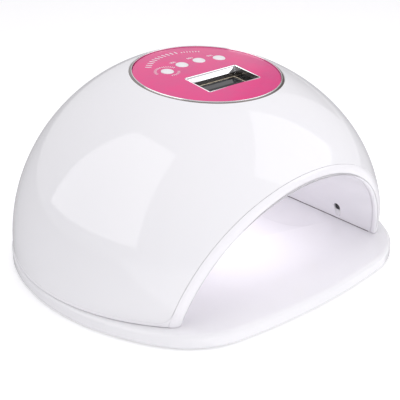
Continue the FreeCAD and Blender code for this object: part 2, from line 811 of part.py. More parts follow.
STANDOFFS = both_sides(22.0, -38.0) + both_sides(22.0, 2.0)
main_bottom = dim("main_board_height")
main_top = main_bottom + dim("board_thickness")
main_front = -44.0
main_back = main_front + dim("main_board_width")
drilled_plate(
    "main_board",
    "main_board_length",
    "main_board_width",
    "board_thickness",
    Vector(-dim("main_board_length") / 2, main_front, main_bottom),
    STANDOFFS,
)


def standoff(x, y):
    post = disc(2.5, main_bottom - spreader_top, Vector(x, y, spreader_top))
    return post.cut(disc(dim("screw_radius"), 6.2, Vector(x, y, main_bottom - 6.2)))


group("board_standoffs", [standoff(x, y) for x, y in STANDOFFS])
group("main_board_screws", [screw(x, y, main_top + 1.2, 7.0, -1) for x, y in STANDOFFS])
group("spreader_screws", [screw(x, y, spreader_top + 1.2, 7.0, -1) for x, y in SPREADER_POSTS])
moulded("controller_chip", centred_box(10, 10, 1.8, -12, -16, main_top))


def inductor(x, y):
    """A squat drum core: two cheeks and the winding between them."""
    cheeks = [disc(6.0, 1.2, Vector(x, y, main_top)), disc(6.0, 1.2, Vector(x, y, main_top + 5.8))]
    winding = disc(5.0, 4.6, Vector(x, y, main_top + 1.2))
    return winding.multiFuse(cheeks)


def capacitor(x, y):
    can = disc(4.0, 9.0, Vector(x, y, main_top))
    top_edge = [edge for edge in can.Edges if edge.BoundBox.ZMin > main_top + 8.9]
    return can.makeFillet(0.6, top_edge)


group("power_inductors", [inductor(12, -24), inductor(12, -9)])
group("capacitors", [capacitor(-26, -31), capacitor(-26, -21.5), capacitor(26, -26)])

connector_height = 5.0
lead_height = main_top + 2.6
CONNECTORS = [(24.0, main_back - 3.0), (8.0, main_back - 3.0), (-8.0, main_back - 3.0)]
SIDE_CONNECTORS = both_sides(dim("main_board_length") / 2 - 3.0, -12.0)
connector_blocks = [centred_box(9, 6, connector_height, x, y, main_top) for x, y in CONNECTORS]
connector_blocks += [centred_box(6, 9, connector_height, x, y, main_top) for x, y in SIDE_CONNECTORS]
group("wire_connectors", connector_blocks)
moulded("main_header", centred_box(16, 5, 3.6, 0, -36, main_top))

# ---------------------------------------------------------------- wiring


def lead_path(points):
    """Straight runs joined by tangent arcs, each as large as its two runs allow."""
    points = [Vector(*point) for point in points]
    edges = []
    start = points[0]
    for before, corner, after in zip(points, points[1:], points[2:]):
        towards = (corner - before).normalize()
        onwards = (after - corner).normalize()
        reach = 0.45 * min((corner - before).Length, (after - corner).Length)
        turn = towards.getAngle(onwards)
        radius = reach / math.tan(turn / 2)
        arc_start = corner - towards * reach
        arc_end = corner + onwards * reach
        inward = (onwards - towards).normalize()
        middle = corner + inward * (radius / math.cos(turn / 2) - radius)
        edges.append(Part.makeLine(start, arc_start))
        edges.append(Part.Arc(arc_start, middle, arc_end).toShape())
        start = arc_end
    edges.append(Part.makeLine(start, points[-1]))
    return Part.Wire(edges)


def lead(points, radius):
    """A round insulated lead along a path."""
    path = lead_path(points)
    heading = (Vector(*points[1]) - Vector(*points[0])).normalize()
    profile = Part.Wire([Part.Circle(Vector(*points[0]), heading, radius).toShape()])
    return path.makePipeShell([profile], True, False)


jack_back = dim("inlet_face_line") - 13.0
inlet_height = dim("inlet_height")
power_end = (24.0, main_back, lead_height)
POWER_ROUTE = [(12, 85, 20), (26, 82, 22), (38, 74, 33), (41, 60, 52), (38, 42, 70), (30, 24, 84)]


def power_lead(offset):
    route = [(offset, jack_back, inlet_height), (offset, jack_back - 3.0, inlet_height)]
    route += [(x + offset / 2, y, z + offset) for x, y, z in POWER_ROUTE]
    x, y, z = power_end
    return lead(route + [(x + offset, y + 6.0, z), (x + offset, y, z)], 0.8)


group("power_leads", [power_lead(-1.8), power_lead(1.8)])


def board_point(name, x, y):
    """A point on the outer face of an LED board."""
    place = LED_BOARDS[name][0]
    return place.multVec(Vector(x, y, led_board_bottom + dim("board_thickness")))


def board_normal(name):
    """The way an LED board faces, away from the cavity."""
    return LED_BOARDS[name][0].Rotation.multVec(Vector(0, 0, 1))


def side_lead(side):
    x = side * dim("main_board_length") / 2
    board = "right" if side > 0 else "left"
    foot = board_point(board, 0, -26)
    out = foot + board_normal(board) * 9.0
    route = [(x, -12, lead_height), (x + side * 12, -12, lead_height), (x + side * 24, -17, 79)]
    return lead(route + [tuple(out), tuple(foot)], 1.1)


def back_lead():
    foot = board_point("back", -4, 4)
    out = foot + board_normal("back") * 8.0
    route = [(-8, main_back, lead_height), (-8, main_back + 10, lead_height), (-7, main_back + 28, 78)]
    return lead(route + [(-6, 58, 66), tuple(out), tuple(foot)], 1.1)


def top_lead():
    route = [(8, main_back, lead_height), (8, main_back + 4, lead_height), (8, main_back + 3, 82)]
    return lead(route + [(8, main_back + 1.5, 79), (8, main_back + 1.5, spreader_bottom)], 1.1)


group("led_leads", [side_lead(-1), side_lead(1), back_lead(), top_lead()])


def make_ribbon():
    """The flat cable that joins the display board to the main board in one loop."""
    depth = display_board_bottom - header_height / 2
    start = panel_place.multVec(Vector(0, header_line - 2.5, depth))
    first = panel_place.multVec(Vector(0, header_line - 13.0, depth))
    height = main_top + 1.8
    path = lead_path([tuple(start), tuple(first), (0, -49, height), (0, -38.5, height)])
    across = Vector(7, 0, 0)
    thick = panel_place.Rotation.multVec(Vector(0, 0, 0.3))
    low, high = start - thick, start + thick
    corners = [low - across, low + across, high + across, high - across]
    profile = Part.makePolygon(corners + corners[:1])
    return path.makePipeShell([profile], True, False)


moulded("ribbon_cable", make_ribbon())

# ---------------------------------------------------------------- adaptor inlet


bore_floor = 1.0 - dim("inlet_depth")


def make_jack():
    """A panel socket: flange outside the wall, barrel through it, and a bore round the centre contact."""
    flange = disc(6.5, 1.0, Vector(0, 0, 0))
    barrel = disc(4.0, 13.0, Vector(0, 0, -13.0))
    bore = disc(dim("inlet_bore_radius"), dim("inlet_depth"), Vector(0, 0, bore_floor))
    foot_height = dim("inlet_foot_height")
    foot_seat = disc(dim("inlet_foot_radius"), foot_height, Vector(0, 0, bore_floor - foot_height))
    return flange.fuse(barrel).cut(Part.makeCompound([bore, foot_seat]))


moulded("dc_jack", make_jack(), inlet_place)
contact = document.addObject("Part::Cylinder", "DcJackContact")
bind(contact, Radius="inlet_pin_radius", Height="inlet_pin_length")
contact.Placement = inlet_place.multiply(Placement(Vector(0, 0, bore_floor), Rotation()))
contact_foot = document.addObject("Part::Cylinder", "DcJackContactFoot")
bind(contact_foot, Radius="inlet_foot_radius", Height="inlet_foot_height")
foot_bottom = bore_floor - dim("inlet_foot_height")
contact_foot.Placement = inlet_place.multiply(Placement(Vector(0, 0, foot_bottom), Rotation()))
pin = document.addObject("Part::Fuse", "DcJackPin")
pin.Base = contact
pin.Tool = contact_foot
finish(pin, "dc_jack_pin")


def make_jack_nut():
    reach = 6.4
    turns = [math.radians(angle) for angle in range(0, 420, 60)]
    corners = [Vector(reach * math.cos(turn), reach * math.sin(turn), -7.0) for turn in turns]
    hexagon = Part.Face(Part.makePolygon(corners)).extrude(Vector(0, 0, 3.0))
    return hexagon.cut(disc(4.0, 5.0, Vector(0, 0, -8.0)))


moulded("dc_jack_nut", make_jack_nut(), inlet_place)

# ---------------------------------------------------------------- checks and files

document.recompute()
for item in document.Objects:
    if "Invalid" in item.State or "Error" in item.State:
        raise RuntimeError(f"{item.Label} failed: {item.State}")
os.makedirs("parts", exist_ok=True)
for item in subparts:
    shape = item.Shape
    if shape.isNull() or not shape.isValid():
        raise RuntimeError(f"{item.Label} has no valid shape")
    print(item.Label, "solids", len(shape.Solids), "volume", round(shape.Volume, 1))
    shape.exportStep(f"parts/{item.Label}.step")
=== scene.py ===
"""The nail lamp's looks: smooth moulded pieces, procedural materials and a soft studio."""
import json
import math

import bmesh
import bpy
import numpy as np
from mathutils import Matrix, Vector


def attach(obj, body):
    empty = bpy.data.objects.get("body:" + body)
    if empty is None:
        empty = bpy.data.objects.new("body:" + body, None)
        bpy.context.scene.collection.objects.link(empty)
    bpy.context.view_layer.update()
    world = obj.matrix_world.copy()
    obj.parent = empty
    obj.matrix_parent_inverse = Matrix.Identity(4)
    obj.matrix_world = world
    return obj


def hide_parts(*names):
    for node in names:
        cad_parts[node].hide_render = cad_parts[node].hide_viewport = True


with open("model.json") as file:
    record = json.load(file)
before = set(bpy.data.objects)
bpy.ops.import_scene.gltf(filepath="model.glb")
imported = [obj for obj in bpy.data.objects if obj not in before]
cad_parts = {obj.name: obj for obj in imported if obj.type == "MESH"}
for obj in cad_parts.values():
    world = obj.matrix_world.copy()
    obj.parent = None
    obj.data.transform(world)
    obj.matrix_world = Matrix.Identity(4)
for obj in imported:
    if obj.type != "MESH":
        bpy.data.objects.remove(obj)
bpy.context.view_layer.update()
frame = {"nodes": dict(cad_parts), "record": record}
scene = bpy.context.scene
MM = 0.001

# ---------------------------------------------------------------- camera

camera_data = bpy.data.cameras.new("camera")
camera_data.lens = 84.0
camera_data.sensor_width = 36.0
camera = bpy.data.objects.new("camera", camera_data)
camera.location = (-0.33222, -0.38468, 0.26805)
camera.rotation_euler = (math.radians(64.54), 0, math.radians(-41.45))
scene.collection.objects.link(camera)
scene.camera = camera
scene.view_settings.view_transform = "Standard"

# ---------------------------------------------------------------- materials


class Shader:
    """A Principled material built up from noise, with every pattern in object space, in metres."""

    def __init__(self, name, colour, roughness, metallic=0.0, ior=1.5):
        self.material = bpy.data.materials.new(name)
        self.material.use_nodes = True
        self.tree = self.material.node_tree
        self.surface = self.tree.nodes["Principled BSDF"]
        self.colour = colour
        self.put("Base Color", (*colour, 1))
        self.put("Roughness", roughness)
        self.put("Metallic", metallic)
        self.put("IOR", ior)
        self.place = self.tree.nodes.new("ShaderNodeTexCoord")

    def put(self, socket, value):
        self.surface.inputs[socket].default_value = value
        return self

    def noise(self, size, detail=2.0, stretch=(1, 1, 1)):
        """Noise whose features are about size millimetres, stretched along the axes."""
        mapping = self.tree.nodes.new("ShaderNodeMapping")
        mapping.inputs["Scale"].default_value = [1 / (size * MM * factor) for factor in stretch]
        node = self.tree.nodes.new("ShaderNodeTexNoise")
        node.inputs["Scale"].default_value = 1.0
        node.inputs["Detail"].default_value = detail
        self.tree.links.new(self.place.outputs["Object"], mapping.inputs["Vector"])
        self.tree.links.new(mapping.outputs["Vector"], node.inputs["Vector"])
        return node.outputs["Fac"]

    def spread(self, factor, low, high):
        """Noise turned into a number between low and high."""
        node = self.tree.nodes.new("ShaderNodeMapRange")
        node.inputs["From Min"].default_value = 0.2
        node.inputs["From Max"].default_value = 0.8
        node.inputs["To Min"].default_value = low
        node.inputs["To Max"].default_value = high
        self.tree.links.new(factor, node.inputs["Value"])
        return node.outputs["Result"]

    def tint(self, size, other, stretch=(1, 1, 1)):
        """The colour drifts between its own value and another one."""
        ramp = self.tree.nodes.new("ShaderNodeValToRGB")
        ramp.color_ramp.interpolation = "EASE"
        ramp.color_ramp.elements[0].position = 0.25
        ramp.color_ramp.elements[0].color = (*self.colour, 1)
        ramp.color_ramp.elements[1].position = 0.75
        ramp.color_ramp.elements[1].color = (*other, 1)
        self.tree.links.new(self.noise(size, stretch=stretch), ramp.inputs["Fac"])
        self.tree.links.new(ramp.outputs["Color"], self.surface.inputs["Base Color"])
        return self

    def smudge(self, size, low, high, stretch=(1, 1, 1)):
        """Roughness drifts between low and high."""
        level = self.spread(self.noise(size, 3.0, stretch), low, high)
        self.tree.links.new(level, self.surface.inputs["Roughness"])
        return self

    def bump(self, size, depth):
        """Small relief, depth in millimetres; each call adds to the one before."""
        node = self.tree.nodes.new("ShaderNodeBump")
        node.inputs["Distance"].default_value = depth * MM
        self.tree.links.new(self.noise(size), node.inputs["Height"])
        before = self.surface.inputs["Normal"].links
        if before:
            self.tree.links.new(before[0].from_socket, node.inputs["Normal"])
        self.tree.links.new(node.outputs["Normal"], self.surface.inputs["Normal"])
        return self


def gloss_white(name, colour, shade, low, high):
    """Glossy white moulded plastic: orange peel under the gloss and faint handling marks."""
    shader = Shader(name, colour, low)
    shader.tint(60, shade).smudge(35, low, high)
    return shader.bump(9, 0.004).bump(0.8, 0.0006).material


MATERIALS = {
    "gloss_white": gloss_white("gloss_white", (0.87, 0.865, 0.885), (0.86, 0.857, 0.88), 0.05, 0.09),
    "liner_white": gloss_white("liner_white", (0.89, 0.88, 0.905), (0.88, 0.872, 0.90), 0.16, 0.24),
    "tray_white": gloss_white("tray_white", (0.87, 0.865, 0.885), (0.86, 0.857, 0.88), 0.10, 0.16),
    "rubber": Shader("rubber", (0.6, 0.6, 0.62), 0.75)
    .tint(3, (0.5, 0.5, 0.52)).bump(0.5, 0.03).material,
    "chrome": Shader("chrome", (0.86, 0.86, 0.87), 0.05, 1.0).smudge(4, 0.03, 0.08).material,
    "pink_panel": Shader("pink_panel", (0.80, 0.062, 0.25), 0.2, ior=1.4)
    .tint(14, (0.70, 0.08, 0.26)).smudge(10, 0.18, 0.28).bump(0.4, 0.0015).material,
    "screen": Shader("screen", (0.012, 0.012, 0.014), 0.04, ior=1.22)
    .tint(8, (0.02, 0.02, 0.022)).smudge(6, 0.03, 0.07).material,
    "button_white": gloss_white("button_white", (0.86, 0.85, 0.87), (0.85, 0.84, 0.86), 0.12, 0.2),
    "black_plastic": Shader("black_plastic", (0.02, 0.02, 0.022), 0.4)
    .tint(4, (0.03, 0.03, 0.033)).bump(0.5, 0.01).material,
    "sensor_dark": Shader("sensor_dark", (0.05, 0.03, 0.05), 0.1)
    .tint(2, (0.08, 0.05, 0.08)).material,
    "pcb_green": Shader("pcb_green", (0.02, 0.2, 0.07), 0.35)
    .tint(3, (0.015, 0.14, 0.05)).bump(1, 0.01).material,
    "led_board_white": Shader("led_board_white", (0.8, 0.8, 0.8), 0.35)
    .tint(3, (0.72, 0.72, 0.7)).material,
    "led_lens": Shader("led_lens", (0.85, 0.83, 0.7), 0.08).tint(1.5, (0.9, 0.75, 0.25)).material,
    "aluminium": Shader("aluminium", (0.75, 0.76, 0.78), 0.35, 1.0)
    .smudge(1, 0.25, 0.5, (30, 1, 1)).material,
    "steel": Shader("steel", (0.6, 0.6, 0.61), 0.3, 1.0)
    .smudge(1, 0.2, 0.4).bump(0.3, 0.003).material,
    "brass": Shader("brass", (0.8, 0.58, 0.25), 0.25, 1.0).smudge(1, 0.2, 0.35).material,
    # painted reflection: a near-black copy of the chrome for the screen's well, standing in for the dark
    # stripes its chrome walls reflect
    "smoked_chrome": Shader("smoked_chrome", (0.07, 0.065, 0.06), 0.12, 1.0)
    .smudge(3, 0.08, 0.16).material,
    # painted reflection: a darker, browner copy of the chrome for the ring's band, standing in for the dark
    # surroundings it reflects
    "trim_painted_dark_reflection": Shader("trim_painted_dark_reflection", (0.38, 0.35, 0.33), 0.10, 1.0)
    .smudge(3, 0.07, 0.14).material,
    # painted shade: near-black colour of the strip under the cavity's foot, standing in for the shadow in
    # that gap
    "painted_shade_dark": Shader("painted_shade_dark", (0.10, 0.075, 0.09), 0.8).bump(0.5, 0.03).material,
    "print_white": Shader("print_white", (0.93, 0.84, 0.88), 0.3)
    .tint(3, (0.86, 0.72, 0.79)).smudge(2, 0.25, 0.4).material,
    "card_grey": Shader("card_grey", (0.45, 0.45, 0.455), 0.9)
    .tint(200, (0.42, 0.42, 0.43)).material,
    "card_brown": Shader("card_brown", (0.26, 0.25, 0.245), 0.9)
    .tint(200, (0.24, 0.23, 0.225)).material,
    "pale_gold": Shader("pale_gold", (0.75, 0.66, 0.5), 0.25, 0.6).smudge(1, 0.2, 0.35).material,
    "ferrite": Shader("ferrite", (0.05, 0.05, 0.055), 0.7)
    .tint(1, (0.09, 0.09, 0.1)).bump(0.4, 0.02).material,
    "connector_white": Shader("connector_white", (0.8, 0.78, 0.72), 0.4)
    .tint(3, (0.76, 0.74, 0.68)).material,
    "lead_black": Shader("lead_black", (0.02, 0.02, 0.02), 0.5)
    .tint(4, (0.04, 0.04, 0.04)).bump(1, 0.02).material,
    "lead_red": Shader("lead_red", (0.5, 0.03, 0.03), 0.45)
    .tint(4, (0.4, 0.02, 0.02)).bump(1, 0.02).material,
    "ribbon_grey": Shader("ribbon_grey", (0.45, 0.45, 0.47), 0.5)
    .tint(1.2, (0.3, 0.3, 0.32), (1, 50, 50)).material,
}

for entry in frame["record"]["subparts"]:
    node = frame["nodes"][entry["node"]]
    node.data.materials.clear()
    node.data.materials.append(MATERIALS[entry["material_slot"]])

# ---------------------------------------------------------------- mesh tools


def piece(name, points, faces, material, body, replaced=(), sharp=None):
    """A smooth-shaded mesh from points in millimetres, riding on a body."""
    mesh = bpy.data.meshes.new(name)
    mesh.from_pydata([tuple(p) for p in np.asarray(points, float) * MM], [], faces)
    mesh.validate()
    mesh.materials.append(MATERIALS[material])
    mesh.polygons.foreach_set("use_smooth", [True] * len(mesh.polygons))
    made = bpy.data.objects.new(name, mesh)
    scene.collection.objects.link(made)
    if sharp is not None:
        mesh.set_sharp_from_angle(angle=math.radians(sharp))
    if body is not None:
        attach(made, body)
    if replaced:
        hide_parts(*replaced)
    return made


def skin(rows, columns, wrap_rows=False, wrap_columns=False, first=0):
    """Quads over a grid of rows by columns of points, numbered row by row."""
    faces = []
    for row in range(rows if wrap_rows else rows - 1):
        for column in range(columns if wrap_columns else columns - 1):
            after_row = (row + 1) % rows
            after_column = (column + 1) % columns
            corners = [
                row * columns + column,
                row * columns + after_column,
                after_row * columns + after_column,
                after_row * columns + column,
            ]
            faces.append([first + corner for corner in corners])
    return faces


def loft(loops, ring=False):
    """Points and faces over closed loops of equal count, with both ends closed, or joined in a ring."""
    count = len(loops[0])
    faces = skin(len(loops), count, wrap_rows=ring, wrap_columns=True)
    if not ring:
        start = (len(loops) - 1) * count
        faces.append(list(range(count))[::-1])
        faces.append(list(range(start, start + count)))
    return np.concatenate([np.asarray(loop, float) for loop in loops]), faces


def circle(radius, height, steps, centre):
    """Points round a level circle."""
    turn = np.linspace(0, 2 * math.pi, steps, endpoint=False)
    x = centre[0] + radius * np.cos(turn)
    y = centre[1] + radius * np.sin(turn)
    return np.column_stack([x, y, np.full(steps, height)])


def column(radius, low, high, centre=(0.0, 0.0), steps=40):
    """An upright cylinder."""
    return loft([circle(radius, low, steps, centre), circle(radius, high, steps, centre)])


def lathe(profile, steps, centre=(0.0, 0.0), ring=False):
    """Turns (radius, height) pairs about an upright axis; ring closes the profile on itself."""
    return loft([circle(r, z, steps, centre) for r, z in profile], ring=ring)


def rounded_edge(radius, steps=5):
    """Pairs (how far in, how far down) round a quarter turn, from the flat to the wall."""
    turn = np.linspace(0, math.pi / 2, steps)
    return [(radius * (1 - math.sin(t)), radius * (1 - math.cos(t))) for t in turn]


def placed(points, origin, turn_x, turn_y=0.0):
    """Points moved from their own frame: turned about X, then about Y, and set at origin."""
    about_x = np.array(Matrix.Rotation(math.radians(turn_x), 3, "X"))
    about_y = np.array(Matrix.Rotation(math.radians(turn_y), 3, "Y"))
    return np.asarray(points, float) @ (about_y @ about_x).T + np.asarray(origin, float)


def joined(parts):
    """Several (points, faces) pairs as one."""
    points, faces, first = [], [], 0
    for part_points, part_faces in parts:
        points.append(np.asarray(part_points, float))
        faces += [[first + index for index in face] for face in part_faces]
        first += len(part_points)
    return np.concatenate(points), faces


def bake(target):
    """Applies a piece's modifiers to its mesh."""
    graph = bpy.context.evaluated_depsgraph_get()
    baked = bpy.data.meshes.new_from_object(target.evaluated_get(graph))
    target.modifiers.clear()
    target.data = baked


def cut_away(target, cutters):
    """Cuts (points, faces) solids out of a piece, one boolean for each list of cutters."""
    for number, cutter in enumerate(cutters):
        tool = piece(f"cutter_{number}", *cutter, "steel", None)
        modifier = target.modifiers.new("cut", "BOOLEAN")
        modifier.object = tool
        modifier.solver = "EXACT"
        bake(target)
        bpy.data.objects.remove(tool)


def set_normals(target, on_surface):
    """Exact normals where faces lie on a known surface; on_surface gives (distance, normal) in mm."""
    tolerance = 0.02
    facing = 0.3
    mesh = target.data
    points = np.empty(len(mesh.vertices) * 3)
    mesh.vertices.foreach_get("co", points)
    distance, normal = on_surface(points.reshape(-1, 3) / MM)
    lies = np.abs(distance) < tolerance
    normals = [None] * len(mesh.loops)
    for polygon in mesh.polygons:
        smooth = all(lies[v] for v in polygon.vertices)
        for loop in polygon.loop_indices:
            vertex = mesh.loops[loop].vertex_index
            exact = Vector(normal[vertex])
            if smooth and exact.dot(polygon.normal) > facing:
                normals[loop] = tuple(exact)
            else:
                normals[loop] = tuple(mesh.corner_normals[loop].vector)
    mesh.normals_split_custom_set(normals)


# ---------------------------------------------------------------- hood form

FRONT, SLOPE, FRONT_HEIGHT = -77.5, 0.26, 9.0
PANEL_TILT = 4.7
PANEL_ORIGIN = (0.0, -14.2, 109.2)
DOME_FOOT, DOME_HEIGHT, DOME_RADIUS = 8.5, 109.9, 109.6
DOME_POWERS = (2.15, 1.93)
PANEL_RISE = 100.7
DOME_TOP = 118.0
CENTRE_LINE, CENTRE_DRIFT = -5.3, 8.9


def dome_section(height):
    """Radius, lean and centre line of the hood's round section; it leans more with height."""
    rise = np.clip((height - DOME_FOOT) / DOME_HEIGHT, 0, 1)
    share = np.clip((height - DOME_FOOT) / PANEL_RISE, 0, None)
    radius = DOME_RADIUS * (1 - rise ** DOME_POWERS[0]) ** (1 / DOME_POWERS[1])
    return radius, math.radians(PANEL_TILT) * share**2, CENTRE_LINE - CENTRE_DRIFT * share**1.5


def dome_point(height, turn):
    """The hood's surface at a section height, turn radians from +X."""
    radius, lean, centre = dome_section(height)
    across = radius * np.sin(turn)
    x = radius * np.cos(turn)
    return np.stack([x, centre + across * np.cos(lean), height + across * np.sin(lean)], axis=-1)


def dome_normal(height, turn):
    """The hood's outward normal there."""
    step = 1e-3
    up = dome_point(height + step, turn) - dome_point(height - step, turn)
    round_it = dome_point(height, turn + step) - dome_point(height, turn - step)
    normal = np.cross(round_it, up)
    return normal / np.linalg.norm(normal, axis=-1, keepdims=True)


def outside_dome(points):
    """How far points are outside the hood's surface, level with it, in millimetres."""
    x, y, z = points[..., 0], points[..., 1], points[..., 2]
    height = z.copy()
    for _ in range(8):
        _, lean, centre = dome_section(height)
        height = z - (y - centre) * np.tan(lean)
    radius, _, _ = dome_section(height)
    return np.hypot(x, (y - centre) / np.cos(lean)) - radius


def front_line(height, forward=0.0):
    """Y of the leaning plane at the hood's front, moved forward."""
    return FRONT - forward - SLOPE * (height - FRONT_HEIGHT)


def from_foot(points, bottom, corner):
    """Distance inside the shell's lower edge: bottom plane, front plane, and the round between them."""
    run = math.hypot(1, SLOPE)
    behind = (points[..., 1] - front_line(points[..., 2])) / run
    over = points[..., 2] - bottom
    meet = np.array([front_line(bottom), bottom])
    back = np.array([1.0, 0.0])
    rising = np.array([-SLOPE, 1.0]) / run
    half = math.acos(back @ rising) / 2
    inward = (back + rising) / np.linalg.norm(back + rising)
    centre = meet + inward * corner / math.sin(half)
    offset = points[..., 1:] - centre
    plane_out = np.array([-1.0, -SLOPE]) / run
    bottom_out = np.array([0.0, -1.0])
    mix = np.linalg.inv(np.column_stack([plane_out, bottom_out]))
    parts = offset @ mix.T
    rounded = (parts[..., 0] > 0) & (parts[..., 1] > 0)
    return np.where(rounded, corner - np.linalg.norm(offset, axis=-1), np.minimum(behind, over))


def from_ring(points, radius):
    """Distance outside a round seat in the panel's frame."""
    tilt = math.radians(PANEL_TILT)
    axis = np.array([0.0, -math.sin(tilt), math.cos(tilt)])
    offset = points - np.array(PANEL_ORIGIN)
    along = offset @ axis
    return np.linalg.norm(offset - along[..., None] * axis, axis=-1) - radius


def find(low, high, measure):
    """Where a rising measure passes zero between low and high, by halving."""
    for _ in range(50):
        middle = (low + high) / 2
        positive = measure(middle) > 0
        high = np.where(positive, middle, high)
        low = np.where(positive, low, middle)
    return (low + high) / 2


def foot_height(turns, bottom, corner, level=0.0):
    """Height on each meridian of the hood where its lower edge runs, or a little inside it."""
    low = np.full(len(turns), 7.0)
    high = np.full(len(turns), DOME_TOP)
    return find(low, high, lambda h: from_foot(dome_point(h, turns), bottom, corner) - level)


# ---------------------------------------------------------------- hood

SHELL_BOTTOM, SHELL_CORNER = 10.6, 7.0
RING_SEAT = 43.4
INLET_PLACE, INLET_RECESS = (0, 102.0, 22.0), 7.0


def make_hood():
    """The glossy shell, with every edge rolled in, so its seams read as fine lines."""
    wall, roll, seam = 2.4, 0.18, 0.02
    even = np.radians(np.arange(-90, 270, 0.9))
    fine = np.radians(np.arange(-46, -35, 0.15))
    turns = np.unique(np.concatenate([even, fine, math.pi - fine]))
    lowest = np.full(len(turns), 9.0)
    highest = np.full(len(turns), DOME_TOP)

    def over_foot(level):
        return foot_height(turns, SHELL_BOTTOM, SHELL_CORNER, level + seam)

    def under_ring(level):
        """Heights on each meridian a little below the ring's seat."""
        return find(lowest, highest, lambda h: level + seam - from_ring(dome_point(h, turns), RING_SEAT))

    def surface(height, depth):
        return dome_point(height, turns) - depth * dome_normal(height, turns)

    edge = rounded_edge(roll)
    loop = [surface(over_foot(0), wall)]
    loop += [surface(over_foot(away), depth) for away, depth in reversed(edge)]
    low, high = over_foot(roll), under_ring(roll)
    rows, crowding = 84, 1.35
    for row in range(1, rows):
        share = 1 - (1 - row / rows) ** crowding
        loop.append(surface(low + (high - low) * share, 0))
    loop += [surface(under_ring(away), depth) for away, depth in edge]
    loop.append(surface(under_ring(0), wall))
    loop += [surface(low + (high - low) * share, wall) for share in np.linspace(0.95, 0.05, 14)]
    points = np.stack(loop)
    faces = skin(len(loop), len(turns), wrap_rows=True, wrap_columns=True)
    hood = piece("hood", points.reshape(-1, 3), faces, "gloss_white", "dome", ["outer_shell"])
    recess, recess_faces = column(INLET_RECESS, -6, 14)
    cut_away(hood, [(placed(recess, INLET_PLACE, -90), recess_faces)])
    set_normals(hood, shell_surface)


def shell_surface(points):
    """How far outside the dome each point is, and the dome's normal there."""
    steps = 0.05 * np.eye(3)
    normal = np.column_stack([outside_dome(points + step) - outside_dome(points - step) for step in steps])
    return outside_dome(points), normal / np.linalg.norm(normal, axis=1)[:, None]


def make_inlet_seat():
    """The wall at the bottom of the inlet's recess, with a soft inner edge."""
    wide = INLET_RECESS + 0.3
    profile = [(3.9, -4.0), (wide, -4.0), (wide, -0.02)]
    profile += [(4.25, -0.02), (4.1, -0.1), (4.02, -0.28), (3.9, -0.5)]
    points, faces = lathe(profile, 72, ring=True)
    piece("inlet_seat", placed(points, INLET_PLACE, -90), faces, "gloss_white", "dome", sharp=40)


# ---------------------------------------------------------------- liner

CAVITY_RADIUS, CAVITY_AXIS, CAVITY_BACK = 76.9, -5.8, 8.0
LINER_BOTTOM = 8.7
FOOT_TURN = math.acos((LINER_BOTTOM - CAVITY_AXIS) / CAVITY_RADIUS)


def arch_point(turn, radius, forward):
    """A point round the arch, turn radians from the top, on the front plane moved forward."""
    height = CAVITY_AXIS + radius * np.cos(turn)
    return np.stack([radius * np.sin(turn), front_line(height, forward), height], axis=-1)


def arch_reach(turn, forward):
    """How far from the cavity's axis the hood's surface is, round the arch."""
    near = np.full(len(turn), CAVITY_RADIUS - 2.0)
    far = np.full(len(turn), CAVITY_RADIUS + 30.0)
    return find(near, far, lambda reach: outside_dome(arch_point(turn, reach, forward)))


def make_arch_lip():
    """The rounded bead at the mouth, from the cavity wall round to the shell's seam."""
    share = np.linspace(-1, 1, 361)
    depth, roll = 3.2, 0.16
    inner_turn = share * FOOT_TURN
    foot_reach = CAVITY_RADIUS + 8
    for _ in range(6):
        outer_foot = math.acos((LINER_BOTTOM - CAVITY_AXIS) / foot_reach)
        foot_reach = float(arch_reach(np.array([outer_foot]), 0.0)[0])
    outer_turn = share * outer_foot
    outer_now = arch_reach(outer_turn, 0.0)
    width = outer_now - CAVITY_RADIUS

    def at(out, forward):
        """Point at a distance out from the cavity wall; negative distances count from the hood's side."""
        reach = arch_reach(outer_turn, forward)
        span = reach - CAVITY_RADIUS
        part = np.where(out >= 0, out, span + out) / span
        turn = inner_turn * (1 - part) + outer_turn * part
        return arch_point(turn, CAVITY_RADIUS + part * span, forward)

    opens_at, opens_over = 13.0, 3.0
    edge_heights = arch_point(outer_turn, outer_now, 0.0)[:, 2]
    open_seam = np.clip((edge_heights - opens_at) / opens_over, 0, 1)
    hood_side = 1e-6
    inner_round = np.minimum(1.3, 0.32 * width)
    outer_round = np.minimum(2.6, 0.5 * width)
    loops = [at(np.zeros(len(share)), 0.0)]
    for t in np.linspace(0, math.pi / 2, 6):
        sink = inner_round * (1 - math.sin(t))
        loops.append(at(inner_round * (1 - math.cos(t)), depth - sink))
    for t in np.linspace(math.pi / 2, 0, 9):
        sink = outer_round * (1 - math.sin(t))
        loops.append(at(-outer_round * (1 - math.cos(t)) - hood_side, depth - sink))
    for away, down in rounded_edge(roll):
        loops.append(at(-down * open_seam - hood_side, away * open_seam))
    loops.append(at(-np.minimum(2.0, 0.6 * width), 0.0))
    points, faces = loft([np.stack([loop[i] for loop in loops]) for i in range(len(share))])
    piece("arch_lip", points, faces, "liner_white", "dome")


